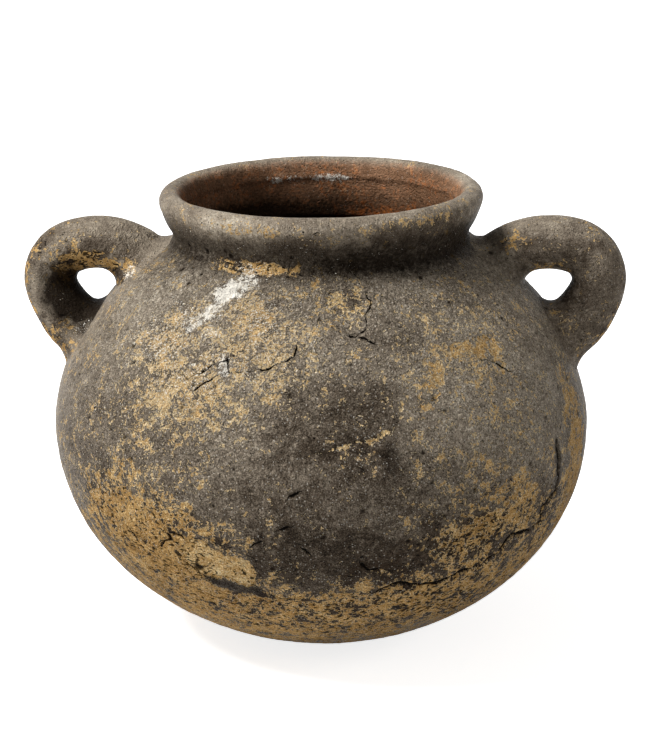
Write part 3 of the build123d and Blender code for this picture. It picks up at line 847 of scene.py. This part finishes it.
def coilHandle(name, hand, material):
    h = handleShape
    side = 1 if hand == "right" else -1
    coarse = 1
    around, rows = h["around"] // coarse, h["rows"] // coarse
    upperStart, lowerStart = h["bendTilt"] + h["bendHalfTurn"], h["bendTilt"] - h["bendHalfTurn"]
    bendZ = neckFootZ - h["bendDrop"]
    bendMiddle = np.array([np.interp(bendZ, wallLine[:, 1], wallLine[:, 0]) + h["bendStandoff"], bendZ])
    inwards = h["bendRadius"] - h["armRadius"]
    upperMiddle, lowerMiddle = (bendMiddle + inwards * ray(math.radians(a)) for a in (upperStart, lowerStart))
    line, outs = [], []
    for middle, radius, a, b in (
            (upperMiddle, h["armRadius"], upperStart + h["upperArmTurn"], upperStart),
            (bendMiddle, h["bendRadius"], upperStart, lowerStart),
            (lowerMiddle, h["armRadius"], lowerStart, lowerStart - h["lowerArmTurn"])):
        way = ray(np.radians(np.linspace(a, b, h["arcPoints"])))
        line.append(middle + radius * way)
        outs.append(way)
    line, outs = np.concatenate(line), np.concatenate(outs)
    run = lengthAlong(line)
    middleRun = (run[h["arcPoints"]] + run[2 * h["arcPoints"] - 1]) / 2

    def tube(at, angle, radius):  # a point on the coil at a run, an angle round it and a distance from its middle
        x, z, outX, outZ = (np.interp(at, run, v) for v in (*line.T, *outs.T))
        reach = radius * np.cos(angle)
        return np.stack([x + outX * reach, -radius * np.sin(angle), z + outZ * reach], 1)

    phi = np.arange(around) * 2 * math.pi / around
    ends = []
    for far in (run[0], run[-1]):  # where each line along the coil meets the sunken wall
        near, deep = np.full(around, middleRun), np.full(around, far)
        for halving in range(h["halvings"]):
            half = (near + deep) / 2
            out = wallGap(tube(half, phi, h["coil"]))[0] + h["sunk"] > 0.02
            near, deep = np.where(out, half, near), np.where(out, deep, half)
        ends.append(near)
    swing = np.cos(math.pi * np.linspace(0, 1, rows + 1))
    share = (0.5 - 0.5 * swing * (0.6 + 0.4 * np.abs(swing)))[:, None]  # rows lie closer towards the roots
    at = (ends[0] * (1 - share) + ends[1] * share).ravel()
    angle = np.tile(phi, rows + 1)
    gap = wallGap(tube(at, angle, h["coil"]))[0] + h["sunk"]
    # the smear flares out towards the wall and hugs it
    upper = at < middleRun
    reach = h["spread"][hand]
    lobe = 0.5 + 0.5 * np.cos(angle)
    spread = np.where(upper, reach[1] + (reach[0] - reach[1]) * lobe, reach[3] + (reach[2] - reach[3]) * lobe)
    inFillet = np.clip(spread - np.clip(gap, 0, None), 0, None)
    flare = spread - np.sqrt(np.clip(spread ** 2 - inFillet ** 2, 0, None))
    flare += h["bulge"] * (1 - smooth(gap, h["bulgeTo"], h["bulgeFrom"])) * np.clip(np.cos(angle), 0, 1) * ~upper
    points = tube(at, angle, h["coil"] + flare)
    newGap, out = wallGap(points)
    points = points + out * ((gap - h["sunk"] - newGap) * (flare / spread) ** 2)[:, None]
    points[:, 0] *= side
    grid = points.reshape(rows + 1, around, 3)
    roundIt = np.roll(grid, -1, axis=1) - np.roll(grid, 1, axis=1)
    normals = np.cross(roundIt, np.gradient(grid, axis=0)).reshape(-1, 3)
    normals /= np.linalg.norm(normals, axis=1)[:, None]
    facing = ((points - np.repeat(grid.mean(axis=1), around, axis=0)) * normals).sum(axis=1).mean()
    normals *= np.sign(facing)
    wide, broad, mid, small = blotches(points, h["blotchMm"], 21)
    ragged = 0.3 * mid + 0.2 * small
    zeros = np.zeros(len(points))
    masks = dict(
        bare=0.02 + 0.06 * wide + 0.1 * broad + 0.06 * mid, slate=0.1 + 0.15 * broad, ochre=0.25 + 0.2 * broad,
        chalk=-0.28 + 0.14 * mid, sootAndShade=0.06 + 0.08 * wide, crack=zeros, crackSide=zeros + wallLook["crackSpan"],
        flake=zeros - wallLook["flakeReach"], gritty=zeros + h["gritty"], inside=zeros,
    )
    way = (at - np.tile(ends[0], rows + 1)) / np.tile(ends[1] - ends[0], rows + 1)
    for key, patches in handlePatches[hand].items():
        for middle, turn, halfLong, halfWide, amount in patches:
            along = (way - middle) * (run[-1] - run[0]) * 0.7
            across = h["coil"] * np.radians(wrapped(np.degrees(angle) - turn))
            far = np.hypot(along / halfLong, across / halfWide)
            # soot, which here is painted shade, fades out softly
            fade = smooth(far + 0.3 * ragged, 0.1, 1.5) if key == "sootAndShade" else smooth(far + ragged, 0.6, 1.3)
            masks[key] += amount * (1 - fade)
    grid = weathered(points, normals, masks, zeros, h["calm"]).reshape(rows + 1, around, 3)

    def place(row, col, first):
        u = h["mapEdge"] + (1 - 2 * h["mapEdge"]) * col / around
        return np.stack([u, h["mapEnd"] + (1 - 2 * h["mapEnd"]) * row / rows], -1)

    poleGap = (1 - 2 * h["mapEnd"]) * h["poleRows"] / rows
    nodes = [hand + "_" + part for part in ("handle", "upper_luting", "lower_luting")]
    clayPiece(name, nodes, grid, grid[[0, -1]].mean(axis=1), masks, [0, rows], place, poleGap, material, side < 0)


coilHandle("coil_handle_right", "right", earthenware)
coilHandle("coil_handle_left", "left", earthenware)

# Floor, light and camera
stageLook = dict(
    floorSize=12.0, floorTone="#f2f2f2", shadeFrom=0.2, shadeTo=0.6, shade=0.8,  # metres, and the glow under the pot
    world=0.22, aim=(0, 0, 0.13),
    lamps={  # place, watts and size
        "key_upper_left": ((-1.283, -0.598, 1.942), 76.0, 0.9),
        "fill_right": ((2.05, -0.36, 1.1), 8.0, 1.0),
    },
)
pureWhite = (1.0, 1.0, 1.0, 1.0)


# 1 for rays that show the backdrop, straight or in gloss or glass, and 0 for the light that it throws
def backdropSeen(tree):
    path = put(tree, "LightPath")
    seen = path.outputs["Is Camera Ray"]
    for name in ("Is Glossy Ray", "Is Transmission Ray"):
        seen = put(tree, "Math", {0: seen, 1: path.outputs[name]}, operation="MAXIMUM")
    return seen


def paperFloor():
    look = stageLook
    material = bpy.data.materials.new("matt_paper")  # pale, even and matt, so only the pot's shadow shows on it
    tree = emptyTree(material)
    here = put(tree, "TexCoord").outputs["Object"]
    far = put(tree, "VectorMath", {0: here}, operation="LENGTH").outputs["Value"]
    away = put(tree, "MapRange", {"Value": far, "From Min": look["shadeFrom"], "From Max": look["shadeTo"],
                                  "To Min": look["shade"]}, interpolation_type="SMOOTHSTEP")
    glow = put(tree, "Math", {0: backdropSeen(tree), 1: away}, operation="MULTIPLY")
    paper = put(tree, "BsdfDiffuse", {"Color": tint(look["floorTone"])})
    white = put(tree, "Emission", {"Color": pureWhite, "Strength": glow})
    both = put(tree, "AddShader", {0: paper, 1: white})
    put(tree, "OutputMaterial", {"Surface": both})
    half = look["floorSize"] / 2
    mesh = bpy.data.meshes.new("paper_floor")
    mesh.from_pydata([(-half, -half, 0), (half, -half, 0), (half, half, 0), (-half, half, 0)], [], [(0, 1, 2, 3)])
    mesh.materials.append(material)
    floor = bpy.data.objects.new("paper_floor", mesh)
    bpy.context.scene.collection.objects.link(floor)


scene = bpy.context.scene
paperFloor()
for name, (spot, watts, size) in stageLook["lamps"].items():
    light = bpy.data.lights.new(name, "AREA")
    light.shape = "DISK"
    light.size = size
    light.energy = watts
    lamp = bpy.data.objects.new(name, light)
    lamp.location = spot
    lamp.rotation_euler = (Vector(stageLook["aim"]) - Vector(spot)).to_track_quat("-Z", "Y").to_euler()
    scene.collection.objects.link(lamp)

scene.world = bpy.data.worlds.new("white_room")
tree = emptyTree(scene.world)
level = put(tree, "MapRange", {"Value": backdropSeen(tree), "To Min": stageLook["world"], "To Max": 1.0})
room = put(tree, "Background", {"Color": pureWhite, "Strength": level})
put(tree, "OutputWorld", {"Surface": room})

# Camera where the photograph was taken from, for an image of 650 by 750
view = dict(yaw=3.7, away=1200.0, high=488.9064, aimX=2.014, aimZ=133.7793, lens=113.914, sensor=36.0)
yaw = math.radians(view["yaw"])
spot = Vector((view["away"] * math.sin(yaw), -view["away"] * math.cos(yaw), view["high"])) / 1000
aim = Vector((view["aimX"] * math.cos(yaw), view["aimX"] * math.sin(yaw), view["aimZ"])) / 1000
cameraData = bpy.data.cameras.new("camera")
cameraData.lens = view["lens"]
cameraData.sensor_width = view["sensor"]
camera = bpy.data.objects.new("camera", cameraData)
camera.location = spot
camera.rotation_euler = (aim - spot).to_track_quat("-Z", "Y").to_euler()
scene.collection.objects.link(camera)
scene.camera = camera
scene.view_settings.view_transform = "Standard"
print("stage, lights and camera set")
